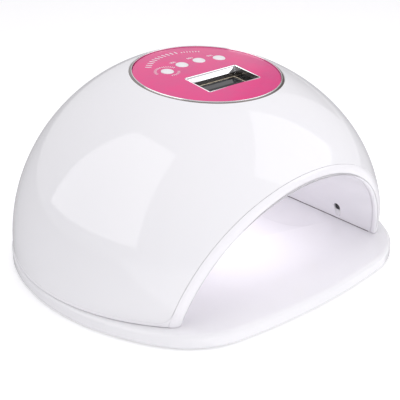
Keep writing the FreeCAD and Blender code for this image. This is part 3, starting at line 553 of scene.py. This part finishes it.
def make_collar():
    """The liner's edge that shows below the shell, and fills the shell's rounded foot corners flush."""
    roll = 0.3
    corner_turn = math.radians(-42.6)
    fine = np.linspace(corner_turn, math.radians(-36), 70)
    even = np.radians(np.arange(-35, 215.5, 1.0))
    turns = np.concatenate([fine, even, (math.pi - fine)[::-1]])
    top = foot_height(turns, SHELL_BOTTOM, SHELL_CORNER)
    bottom = foot_height(turns, LINER_BOTTOM, 0.01)
    flat = np.clip((LINER_BOTTOM + 0.25 - dome_point(bottom, turns)[:, 2]) / 0.25, 0, 1)
    room = np.clip((top - bottom) / 1.0, 0, 1)

    def surface(height, depth):
        return dome_point(height, turns) - np.asarray(depth)[..., None] * dome_normal(height, turns)

    loop = [surface(bottom, 2.0 * np.ones(len(turns)))]
    for away, down in reversed(rounded_edge(roll)):
        loop.append(surface(bottom + away * flat * room, down * flat * room))
    loop.append(surface((bottom + top) / 2, 0 * turns))
    for away, down in rounded_edge(roll):
        loop.append(surface(top - away * room, down * room))
    loop.append(surface(top, 2.0 * np.ones(len(turns))))
    points, faces = loft([np.stack([row[i] for row in loop]) for i in range(len(turns))])
    piece("liner_collar", points, faces, "liner_white", "dome")


LED_LINES = (-46, -28, -10, 8)
LED_FIELDS = [
    ((0, 0, CAVITY_AXIS), 0, 0, [(x, y) for x in (-14, 14) for y in LED_LINES]),
    ((0, 0, CAVITY_AXIS), 0, -46, [(x, y) for x in (-9, 9) for y in LED_LINES]),
    ((0, 0, CAVITY_AXIS), 0, 46, [(x, y) for x in (-9, 9) for y in LED_LINES]),
    ((0, CAVITY_BACK, CAVITY_AXIS), -52, 0, [(x, y) for x in (-20, 0, 20) for y in (-4, 12)]),
]
LED_HOLE = 3.6
SENSOR_TURN, SENSOR_LINE, SENSOR_RADIUS, GROOVE_RADIUS = math.radians(72.6), -52.7, 2.5, 2.3
MAGNET_SPOTS, MAGNET_POCKET = ((84, -58), (66, 64)), 5.05
SCREW_SPOTS, SCREW_RECESS = ((91, -35), (91, 25), (45, 78)), 2.8


def vault_surface(points):
    """Distance from the cavity's surface and its normal, which faces the hands."""
    offset = points - np.array([0, CAVITY_BACK, CAVITY_AXIS])
    offset[:, 1] = np.clip(offset[:, 1], 0, None)
    reach = np.linalg.norm(offset, axis=1)
    return reach - CAVITY_RADIUS, -offset / reach[:, None]


def make_vault():
    """The vault over the hands, with its lamp and sensor holes."""
    lowest = math.asin((LINER_BOTTOM - CAVITY_AXIS) / CAVITY_RADIUS)
    climb = np.linspace(lowest, math.pi / 2, 46)
    points, faces = [], []

    def add(grid):
        first = sum(len(part) for part in points)
        rows, columns = grid.shape[:2]
        points.append(grid.reshape(-1, 3))
        faces.extend(skin(rows, columns, first=first))

    level = CAVITY_AXIS + CAVITY_RADIUS * np.sin(climb)
    front = front_line(level)
    for side in (-1, 1):
        x = side * CAVITY_RADIUS * np.cos(climb)
        shares = np.linspace(0, 1, 40)
        tunnel = [np.column_stack([x, front + (CAVITY_BACK - front) * share, level]) for share in shares]
        add(np.stack(tunnel if side > 0 else tunnel[::-1]))
    back = []
    for turn in np.linspace(math.pi / 2, -math.pi / 2, 121):
        x = CAVITY_RADIUS * np.cos(climb) * math.sin(turn)
        y = CAVITY_BACK + CAVITY_RADIUS * np.cos(climb) * math.cos(turn)
        back.append(np.column_stack([x, y, level]))
    add(np.stack(back))
    vault = piece("vault", np.concatenate(points), faces, "liner_white", "dome", ["inner_liner"])
    work = bmesh.new()
    work.from_mesh(vault.data)
    bmesh.ops.remove_doubles(work, verts=work.verts, dist=2e-6)
    bmesh.ops.recalc_face_normals(work, faces=work.faces)
    work.to_mesh(vault.data)
    work.free()
    axis = Vector((0, 0, CAVITY_AXIS * MM))
    outward = sum(face.normal.dot(face.center - axis) for face in vault.data.polygons)
    if outward > 0:
        vault.data.flip_normals()
    wall = vault.modifiers.new("wall", "SOLIDIFY")
    wall.thickness = 2.0 * MM
    wall.offset = -1
    bake(vault)
    lamp_holes = []
    for origin, turn_x, turn_y, spots in LED_FIELDS:
        for x, y in spots:
            hole, hole_faces = column(LED_HOLE, CAVITY_RADIUS - 12, CAVITY_RADIUS + 6, (x, y))
            lamp_holes.append((placed(hole, origin, turn_x, turn_y), hole_faces))
    sensor_holes, grooves = [], []
    sensor_x = CAVITY_RADIUS * math.sin(SENSOR_TURN)
    sensor_z = CAVITY_AXIS + CAVITY_RADIUS * math.cos(SENSOR_TURN)
    for side in (-1, 1):
        hole, hole_faces = column(SENSOR_RADIUS, -6, 12)
        spot = (side * sensor_x, SENSOR_LINE, sensor_z)
        sensor_holes.append((placed(hole, spot, 0, side * 90), hole_faces))
        groove_spot = (side * (sensor_x + 0.2), SENSOR_LINE)
        grooves.append(column(GROOVE_RADIUS, LINER_BOTTOM - 3, sensor_z, groove_spot))
    cut_away(vault, [joined(lamp_holes + sensor_holes), joined(grooves)])
    set_normals(vault, vault_surface)


def make_liner_floor():
    """The flange that closes the hood underneath, with its screw recesses and magnet pockets."""
    turns = np.radians(np.linspace(-41, 221, 180))
    outer = dome_point(np.full(len(turns), LINER_BOTTOM), turns)[:, :2] * 0.9965
    half = CAVITY_RADIUS * math.sin(FOOT_TURN)
    front = front_line(LINER_BOTTOM)
    swing = np.linspace(math.pi, 0, 90)
    arc = np.column_stack([half * np.cos(swing), CAVITY_BACK + half * np.sin(swing)])
    inner = np.concatenate([[[-half, front]], arc, [[half, front]]])
    outline = np.concatenate([outer, inner])
    levels = (LINER_BOTTOM, LINER_BOTTOM + 1.8)
    loops = [np.column_stack([outline, np.full(len(outline), level)]) for level in levels]
    plate = piece("liner_flange", *loft(loops), "liner_white", "dome", sharp=30)
    cutters = [column(MAGNET_POCKET, 5, 14, (side * x, y)) for side in (-1, 1) for x, y in MAGNET_SPOTS]
    for side in (-1, 1):
        for x, y in SCREW_SPOTS:
            cutters.append(column(SCREW_RECESS, 5, LINER_BOTTOM + 1.2, (side * x, y)))
    cut_away(plate, [joined(cutters)])


make_arch_lip()
make_collar()
make_vault()
make_liner_floor()

# ---------------------------------------------------------------- control panel

CROWN_RISE, PANEL_RADIUS = 1.9, 41.4
CROWN_RADIUS = (PANEL_RADIUS**2 + CROWN_RISE**2) / (2 * CROWN_RISE)
BUTTON_SPOTS = [(-19.2, 11.1), (-6.3, 13.9), (6.3, 13.9), (19.2, 11.1)]
BUTTON_RADIUS = 3.7
SCREEN_WIDTH, SCREEN_DEPTH, SCREEN_LINE = 38.0, 21.3, -13.1


def on_panel(points):
    """Points moved from the panel's own frame, whose Z stands on its face."""
    return placed(points, PANEL_ORIGIN, PANEL_TILT)


def crown_height(x, y):
    """Height of the panel's domed face over its own edge level."""
    return CROWN_RISE - CROWN_RADIUS + np.sqrt(CROWN_RADIUS**2 - x**2 - y**2)


def screen_loop(inset, height, corner, over_crown=False):
    """A rounded rectangle inside the screen frame; inset is one number, or one across and one along.

    The loop is flat, or follows the panel's crown.
    """
    across, along = inset if isinstance(inset, tuple) else (inset, inset)
    reach_x = SCREEN_WIDTH / 2 - across - corner
    reach_y = SCREEN_DEPTH / 2 - along - corner
    points = []
    for number, (sx, sy) in enumerate(((1, 1), (-1, 1), (-1, -1), (1, -1))):
        for turn in np.linspace(0, math.pi / 2, 8) + number * math.pi / 2:
            x = sx * reach_x + corner * math.cos(turn)
            y = SCREEN_LINE + sy * reach_y + corner * math.sin(turn)
            rise = float(crown_height(x, y)) if over_crown else 0.0
            points.append((x, y, height + rise))
    return np.array(points)


def make_panel():
    """The pink face: a domed disc with holes for the buttons and the screen."""
    edge = 0.45
    rim = PANEL_RADIUS - 0.02
    profile = [(0.5, -0.6), (37.4, -0.6), (37.4, -1.88), (rim, -1.88), (rim, -0.9)]
    brim = float(crown_height(rim - edge, 0))
    profile += [(rim - inside, brim - down) for inside, down in reversed(rounded_edge(edge, 6))]
    profile += [(r, float(crown_height(r, 0))) for r in np.linspace(rim - edge - 0.8, 0.5, 36)]
    points, faces = lathe(profile, 192)
    panel = piece("panel_face", on_panel(points), faces, "pink_panel", "dome", ["control_panel"])
    cutters = []
    for x, y in BUTTON_SPOTS:
        hole, hole_faces = column(BUTTON_RADIUS + 0.15, -4, 6, (x, y), 64)
        cutters.append((on_panel(hole), hole_faces))
    window_points, window_faces = loft([screen_loop(0.35, z, 0.8) for z in (-4, 6)])
    cutters.append((on_panel(window_points), window_faces))
    cut_away(panel, [joined(cutters)])
    tilt = np.array(Matrix.Rotation(math.radians(PANEL_TILT), 3, "X"))

    def crown_surface(points):
        """How far points are from the domed face, and its normal there."""
        local = (points - np.array(PANEL_ORIGIN)) @ tilt
        offset = local - np.array([0, 0, CROWN_RISE - CROWN_RADIUS])
        reach = np.linalg.norm(offset, axis=1)
        return reach - CROWN_RADIUS, (offset / reach[:, None]) @ tilt.T

    set_normals(panel, crown_surface)


def make_ring():
    """The chrome trim: a bright bead beside the panel, then a band of darker, browner metal that slopes
    down to the shell; its colour is a painted reflection of dark surroundings.
    """
    inner, outer, step = PANEL_RADIUS + 0.1, 43.38, 42.05
    band = [(outer, -1.85), (outer, -0.5), (outer - 0.04, -0.36), (outer - 0.14, -0.26)]
    band += [(42.9, -0.08), (42.4, 0.14), (step - 0.1, 0.26), (step - 0.1, -1.85)]
    points, faces = lathe(band, 256, ring=True)
    piece("trim_band", on_panel(points), faces, "trim_painted_dark_reflection", "dome")
    bead = [(step, -1.85), (step, 0.42)]
    bead += [(41.78 + 0.27 * math.cos(t), 0.46 + 0.27 * math.sin(t)) for t in np.linspace(0.1, math.pi, 11)]
    bead.append((inner, -1.85))
    points, faces = lathe(bead, 256, ring=True)
    piece("trim_bead", on_panel(points), faces, "chrome", "dome", ["chrome_ring"])


def side_bar(side, section, half_depth):
    """A bar along a side wall of the screen; the section holds (inset, height) pairs."""
    loops = []
    for y in (SCREEN_LINE - half_depth, SCREEN_LINE + half_depth):
        loops.append([(side * (SCREEN_WIDTH / 2 - inset), y, height) for inset, height in section])
    return loft(loops)


def panel_shape(parts):
    """Several (points, faces) pairs as one, on the panel."""
    points, faces = joined(parts)
    return on_panel(points), faces


def make_screen():
    """The chrome frame, its stepped well in darker metal with chrome lines on its steps and side walls
    (painted dark and bright reflected stripes), the black glass and the pale line round the window.
    """
    rim = [(0.0, -0.3), (0.0, 0.1), (0.06, 0.24), (0.22, 0.32), (0.42, 0.28), (0.55, 0.12), (0.6, -0.1)]
    loops = [screen_loop(inset, height, 1.1 - 0.8 * inset, True) for inset, height in rim]
    walls = [((0.9, 1.0), 0.6), ((1.2, 1.95), -1.5), (0.55, -1.6)]
    loops += [screen_loop(inset, height, 0.5) for inset, height in walls]
    points, faces = loft(loops, ring=True)
    piece("screen_frame", on_panel(points), faces, "chrome", "dome", ["lcd_bezel"], sharp=28)
    half_depth = SCREEN_DEPTH / 2 - 1.0
    sides, trims = [], []
    for side in (-1, 1):
        section = [(0.7, 1.3), (0.98, 1.24), (1.4, -1.6), (0.7, -1.6)]
        sides.append(side_bar(side, section, half_depth))
        # painted reflection: chrome lines on the darker side walls stand in for the bright stripes the
        # chrome walls reflect
        for level in (0.85, 0.3, -0.25, -0.8):
            inset = 1.0 + 0.148 * (1.24 - level)
            under = level - 0.14
            near, far = inset - 0.1, inset + 0.1
            section = [(near, level), (far, level), (far, under), (near, under)]
            trims.append(side_bar(side, section, half_depth))
    piece("screen_sides", *panel_shape(sides), "smoked_chrome", "dome", sharp=28)
    piece("screen_side_lines", *panel_shape(trims), "chrome", "dome", sharp=28)
    # painted reflection: the darker steps with chrome edges copy the dark and bright stripes reflected in
    # the well
    steps = [(1.3, 1.98), (1.7, 2.2), (2.1, 2.45), (2.5, 2.7), (2.95, 2.95)]
    loops = [screen_loop(0.96, -3.6, 0.5), screen_loop(0.96, -1.6, 0.5)]
    lines = []
    for number, inset in enumerate(steps):
        top = -1.62 - 0.36 * number
        wider = (inset[0] + 0.08, inset[1] + 0.05)
        loops += [screen_loop(inset, top, 0.5), screen_loop(wider, top - 0.34, 0.5)]
        trim = []
        for across, up in ((-0.02, 0.01), (0.1, 0.01), (0.1, -0.07), (-0.02, -0.07)):
            trim.append(screen_loop((inset[0] + across, inset[1] + across), top + up, 0.5))
        lines.append(loft(trim, ring=True))
    loops.append(screen_loop(2.95, -3.6, 0.5))
    points, faces = loft(loops, ring=True)
    piece("screen_well", on_panel(points), faces, "smoked_chrome", "dome", sharp=28)
    points, faces = joined(lines)
    piece("screen_steps", on_panel(points), faces, "chrome", "dome", sharp=28)
    glass = [(2.1, -4.55), (2.1, -3.72), (2.2, -3.62), (6, -3.62)]
    points, faces = loft([screen_loop(inset, height, 0.5) for inset, height in glass])
    piece("screen_glass", on_panel(points), faces, "screen", "dome", ["lcd_window"], sharp=40)
    line = [(3.15, -3.6), (3.15, -3.42), (3.3, -3.36), (3.5, -3.36), (3.6, -3.42), (3.6, -3.6)]
    points, faces = loft([screen_loop(inset, height, 0.4) for inset, height in line], ring=True)
    piece("screen_border", on_panel(points), faces, "pale_gold", "dome")


def make_buttons():
    """Domed caps with a retaining flange under the panel and a stem down to the switch."""
    swell = 0.9
    ball = (BUTTON_RADIUS**2 + swell**2) / (2 * swell)
    for number, (x, y) in enumerate(BUTTON_SPOTS, start=1):
        level = float(crown_height(x, y))
        profile = [(0.3, -4.6), (1.5, -4.6), (1.5, -1.35), (4.7, -1.35), (4.7, -0.66), (3.7, -0.66)]
        top = level + 1.0
        for r in (3.7, 3.64, 3.5, 3.2, 2.7, 2.1, 1.4, 0.7, 0.15):
            sag = ball - math.sqrt(ball**2 - r**2)
            soften = 0.12 if r > 3.68 else 0.03 if r > 3.6 else 0.0
            profile.append((r, top - sag - soften))
        points, faces = lathe(profile, 72, (x, y))
        node = f"button_{number}"
        piece(f"button_cap_{number}", on_panel(points), faces, "button_white", node, [node], 50)


STROKES = {"a": (0, 2, 1, 2), "b": (1, 1, 1, 2), "c": (1, 0, 1, 1), "d": (0, 0, 1, 0)}
STROKES |= {"e": (0, 0, 0, 1), "f": (0, 1, 0, 2), "g": (0, 1, 1, 1)}
DIGITS = {"0": "abcdef", "3": "abcdg", "6": "acdefg", "9": "abcdfg", "s": "acdfg"}


def bar(start, end, width):
    """A flat printed stroke with round ends, lying on the panel's crown."""
    start, end = Vector(start), Vector(end)
    along = (end - start).normalized()
    points = []
    for centre, first in ((end, -90), (start, 90)):
        for turn in np.radians(np.arange(first, first + 181, 30)):
            spot = centre + Matrix.Rotation(turn, 2) @ along * (width / 2)
            points.append((spot.x, spot.y, float(crown_height(spot.x, spot.y)) + 0.03))
    return np.array(points), [tuple(range(len(points)))]


def arc_bars(centre, radius, first, last, count, length, width):
    """Short printed strokes pointing at a centre, evenly spread between two angles."""
    made = []
    for turn in np.radians(np.linspace(first, last, count)):
        outward = Vector((math.cos(turn), math.sin(turn)))
        middle = Vector(centre) + outward * radius
        made.append(bar(middle - outward * length / 2, middle + outward * length / 2, width))
    return made


def make_print():
    """Seconds beside three buttons, strokes round the first, and a scale of strokes along the edge."""
    strokes = arc_bars((0, 0), 32.6, 82, 135, 11, 2.7, 1.0)
    strokes += arc_bars((0, 0), 31.6, 57, 76, 7, 1.4, 0.6)
    strokes += arc_bars(BUTTON_SPOTS[0], 6.8, 18, 175, 17, 1.3, 0.45)
    strokes += arc_bars(BUTTON_SPOTS[0], 6.4, -105, -35, 8, 1.2, 0.4)
    for (x, y), text in zip(BUTTON_SPOTS[1:], ("30s", "60s", "99s")):
        spot = Vector((x - 2.0, y + 5.9))
        for place, sign in enumerate(text):
            for stroke in DIGITS[sign]:
                x0, y0, x1, y1 = STROKES[stroke]
                start, end = [
                    spot + Vector(((place - 1.3) * 1.35 + u * 0.85, v * 0.75 - 0.75))
                    for u, v in ((x0, y0), (x1, y1))
                ]
                strokes.append(bar(start, end, 0.32))
    points, faces = joined(strokes)
    piece("panel_print", on_panel(points), faces, "print_white", "dome")


def make_painted_shade_strip():
    """A thin dark strip under the cavity's foot: painted shade for the dark gap between the liner and the
    tray, not a part of the real lamp.
    """
    reach = math.sqrt(CAVITY_RADIUS**2 - (LINER_BOTTOM - CAVITY_AXIS) ** 2)
    low, high = LINER_BOTTOM - 0.26, LINER_BOTTOM + 0.12
    front = float(front_line(LINER_BOTTOM)) + 1.0
    loops = []
    turns = np.concatenate([[None], np.radians(np.arange(90, -91, -2)), [None]])
    for number, turn in enumerate(turns):
        side = 1 if number < len(turns) / 2 else -1
        across, forward = (side, 0.0) if turn is None else (math.sin(turn), math.cos(turn))
        start = front if turn is None else CAVITY_BACK
        loop = []
        for depth, height in ((-0.12, low), (-0.12, high), (0.8, high), (0.8, low)):
            loop.append((across * (reach + depth), start + forward * (reach + depth), height))
        loops.append(loop)
    points, faces = loft(loops)
    piece("painted_shade_strip", np.array(points), faces, "painted_shade_dark", "dome", sharp=30)


make_hood()
make_inlet_seat()
make_painted_shade_strip()
make_panel()
make_ring()
make_screen()
make_buttons()
make_print()

# ---------------------------------------------------------------- base tray

TRAY_TOP, TRAY_BOTTOM = 8.4, 1.0


def tray_outline(inset):
    """The tray's outline: tangent arcs from the middle of the front, up the right side, then mirrored."""
    steps = 60
    front_radius, corner_radius, side_radius, back_radius = 365.0, 50.5, 129.0, 109.15
    front = Vector((0, front_radius - 106.2))
    side = Vector((110.0 - side_radius, -8.7))
    to_front = front - side
    reach_side, reach_front = side_radius - corner_radius, front_radius - corner_radius
    along = (reach_side**2 - reach_front**2 + to_front.length**2) / (2 * to_front.length)
    across = math.sqrt(reach_side**2 - along**2)
    unit = to_front.normalized()
    corner = side + unit * along + Vector((unit.y, -unit.x)) * across
    back = Vector((0, side.y + math.sqrt((side_radius - back_radius) ** 2 - side.x**2)))
    front_turn = math.atan2(corner.y - front.y, corner.x - front.x)
    side_turn = math.atan2(corner.y - side.y, corner.x - side.x)
    back_turn = math.atan2(back.y - side.y, back.x - side.x)
    right = [
        (front, front_radius, -math.pi / 2, front_turn),
        (corner, corner_radius, front_turn, side_turn),
        (side, side_radius, side_turn, back_turn),
        (back, back_radius, back_turn, math.pi / 2),
    ]
    points = []
    for centre, radius, start, end in right:
        for turn in np.linspace(start, end, steps, endpoint=False):
            reach = radius - inset
            points.append((centre.x + reach * math.cos(turn), centre.y + reach * math.sin(turn)))
    points.append((0.0, back.y + back_radius - inset))
    points = np.array(points)
    left = points[1:-1][::-1] * np.array([-1, 1])
    return np.concatenate([points, left])


def tray_loop(inset, height):
    """The outline, moved inward, at one height."""
    outline = tray_outline(inset)
    return np.column_stack([outline, np.full(len(outline), height)])


def block(centre, size):
    """A bar with soft long edges on its lower side."""
    soft = 0.25
    (cx, cy, cz), (sx, sy, sz) = centre, size
    loops = []
    for inset, height in ((soft, -sz / 2), (0, soft - sz / 2), (0, sz / 2)):
        x, y = sx / 2 - inset, sy / 2 - inset
        corners = [(-x, -y), (x, -y), (x, y), (-x, y)]
        loops.append([(cx + a, cy + b, cz + height) for a, b in corners])
    return loft(loops)


def make_tray():
    """The tray, with a soft upper edge, two finger dishes, and ribs in its hollow underside."""
    loops = [tray_loop(3.0, 5.0), tray_loop(3.0, 1.1), tray_loop(3.1, TRAY_BOTTOM)]
    loops += [tray_loop(inset, TRAY_BOTTOM + down) for inset, down in rounded_edge(0.7)]
    loops += [tray_loop(inset, TRAY_TOP - down) for inset, down in reversed(rounded_edge(2.6, 10))]
    loops.append(tray_loop(3.4, TRAY_TOP))
    tray = piece("tray_top", *loft(loops), "tray_white", "tray", ["tray_plate"])
    cutters = []
    half_width, depth = 16.0, 1.4
    ball = (half_width**2 + depth**2) / (2 * depth)
    for side in (-1, 1):
        profile = []
        for t in np.linspace(0.002, 0.24, 22):
            profile.append((ball * math.sin(t), ball - ball * math.cos(t)))
        dish, dish_faces = lathe(profile, 96)
        dish = dish * np.array([1, 1.5, 1]) + np.array([side * 58.0, -24.0, TRAY_TOP - depth])
        cutters.append((dish, dish_faces))
        for x, y in MAGNET_SPOTS:
            cutters.append(column(MAGNET_POCKET, TRAY_TOP - 2.42, TRAY_TOP + 3, (side * x, y)))
    cut_away(tray, [joined(cutters)])
    tray.data.set_sharp_from_angle(angle=math.radians(35))
    ribs = []
    for x in (-45, 0, 45):
        ribs.append(block((x, -4, 3.3), (1.8, 168, 3.6)))
    for y in (-58, -8, 42):
        ribs.append(block((0, y, 3.3), (164, 1.8, 3.6)))
    foot_pad = [(0.5, 1.9), (7.1, 1.9), (7.1, 1.0), (8.7, 1.0), (9.0, 1.3), (9.0, 5.2)]
    for x, y in ((60, -82), (66, 62)):
        for side in (-1, 1):
            ribs.append(lathe(foot_pad, 48, (side * x, y)))
    piece("tray_ribs", *joined(ribs), "tray_white", "tray", sharp=30)


make_tray()

# ---------------------------------------------------------------- studio


def soft_light(name, place, along, across, energy, glossy=True, diffuse=True):
    """A soft box whose two sides are the vectors along and across, facing away from their cross product."""
    data = bpy.data.lights.new(name, "AREA")
    data.shape = "RECTANGLE"
    along = Vector(along)
    across = Vector(across)
    data.size = along.length
    data.size_y = across.length
    data.energy = energy
    data.color = (1.0, 0.99, 1.0)
    x_axis = along.normalized()
    z_axis = along.cross(across).normalized()
    y_axis = z_axis.cross(x_axis)
    box = bpy.data.objects.new(name, data)
    facing = Matrix((x_axis, y_axis, z_axis)).transposed().to_4x4()
    box.matrix_world = Matrix.Translation(place) @ facing
    box.visible_glossy = glossy
    box.visible_diffuse = diffuse
    scene.collection.objects.link(box)
    return box


soft_light("left_box", (-0.6, 0.28, 0.9), (0, -0.9, 0), (0, 0, 1.55), 6.5, diffuse=False)
soft_light("right_box", (0.48, -0.41, 0.56), (0.47, -0.20, -0.43), (0.44, 0.46, 0.05), 1.6, diffuse=False)
soft_light("overhead", (0, 0, 0.95), (0.6, 0, 0), (0, 0.6, 0), 2.45, glossy=False)
soft_light("key", (0.35, -0.6, 0.7), (0.6, 0.35, 0), (-0.3, 0.5, 0.6), 0.42, glossy=False)
inside_fill = soft_light("inside_fill", (0, -0.02, 0.063), (0.055, 0, 0), (0, 0.09, 0), 0.036, glossy=False)
inside_fill.data.color = (0.99, 0.94, 1.0)
soft_light("front_fill", (-0.05, -0.6, 0.13), (0.6, 0, 0), (0, 0, 0.3), 0.6, glossy=False)

bpy.ops.mesh.primitive_plane_add(size=8)
floor = bpy.context.object
floor.name = "studio_floor"
floor_shader = Shader("floor", (0.93, 0.93, 0.935), 0.8).bump(40, 0.05)
floor_shader.put("Emission Color", (1, 1, 1, 1)).put("Emission Strength", 0.22)
floor.data.materials.append(floor_shader.material)


def reflection_card(name, place, width, depth, tilt, material):
    """A card only reflections can see."""
    bpy.ops.mesh.primitive_plane_add(size=1, location=place, rotation=tilt)
    card = bpy.context.object
    card.name = name
    card.dimensions = (width, depth, 0)
    for sight in ("visible_camera", "visible_diffuse", "visible_shadow", "visible_transmission"):
        setattr(card, sight, False)
    card.data.materials.append(MATERIALS[material])


side_tilt = (math.radians(114), 0, math.radians(-66))
reflection_card("side_card", (0.67, 0.30, 0.44), 0.34, 0.80, side_tilt, "card_brown")
reflection_card("floor_card", (0, 1.2, 0.0005), 3.2, 2.6, (0, 0, 0), "card_grey")

world = bpy.data.worlds.new("studio")
scene.world = world
world.use_nodes = True
world.node_tree.nodes["Background"].inputs["Color"].default_value = (0.985, 0.975, 1.0, 1)
world.node_tree.nodes["Background"].inputs["Strength"].default_value = 0.7
